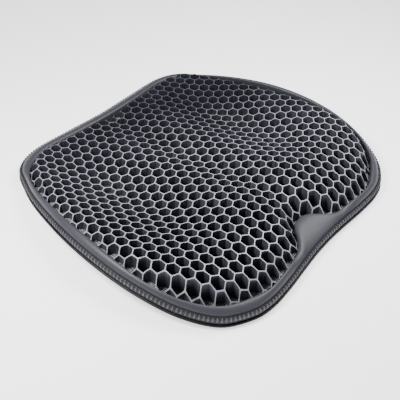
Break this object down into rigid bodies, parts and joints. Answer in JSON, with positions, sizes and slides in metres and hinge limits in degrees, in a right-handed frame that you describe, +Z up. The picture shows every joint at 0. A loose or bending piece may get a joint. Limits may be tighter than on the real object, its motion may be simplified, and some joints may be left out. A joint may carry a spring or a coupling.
{
  "type": "seat cushion",
  "caption": "Contoured honeycomb gel seat cushion with two seat hollows, a padded faux-leather rim with a front tongue, and a grip base.",
  "frame": {"origin": "middle of the footprint, on the resting plane", "axes": "+X to one side across the width, +Y towards the rear edge (the tongue is at -Y), +Z up"},
  "size_m": [0.443, 0.4117, 0.0488],
  "materials": {
    "gel": "satin",
    "rim_leather": "satin",
    "band_leather": "matte",
    "thread": "matte",
    "binding_tape": "matte",
    "mesh_fabric": "matte",
    "foam": "matte",
    "base_fabric": "matte",
    "grip_rubber": "matte"
  },
  "bodies": {
    "root": {"honeycomb_gel_pad": "gel", "mesh_liner": "mesh_fabric", "rim_filler": "foam", "rim_cover": "rim_leather", "stitched_side_band": "band_leather", "band_stitching": "thread", "edge_binding": "binding_tape", "base_cloth": "base_fabric", "grip_sheet": "grip_rubber"}
  },
  "joints": []
}
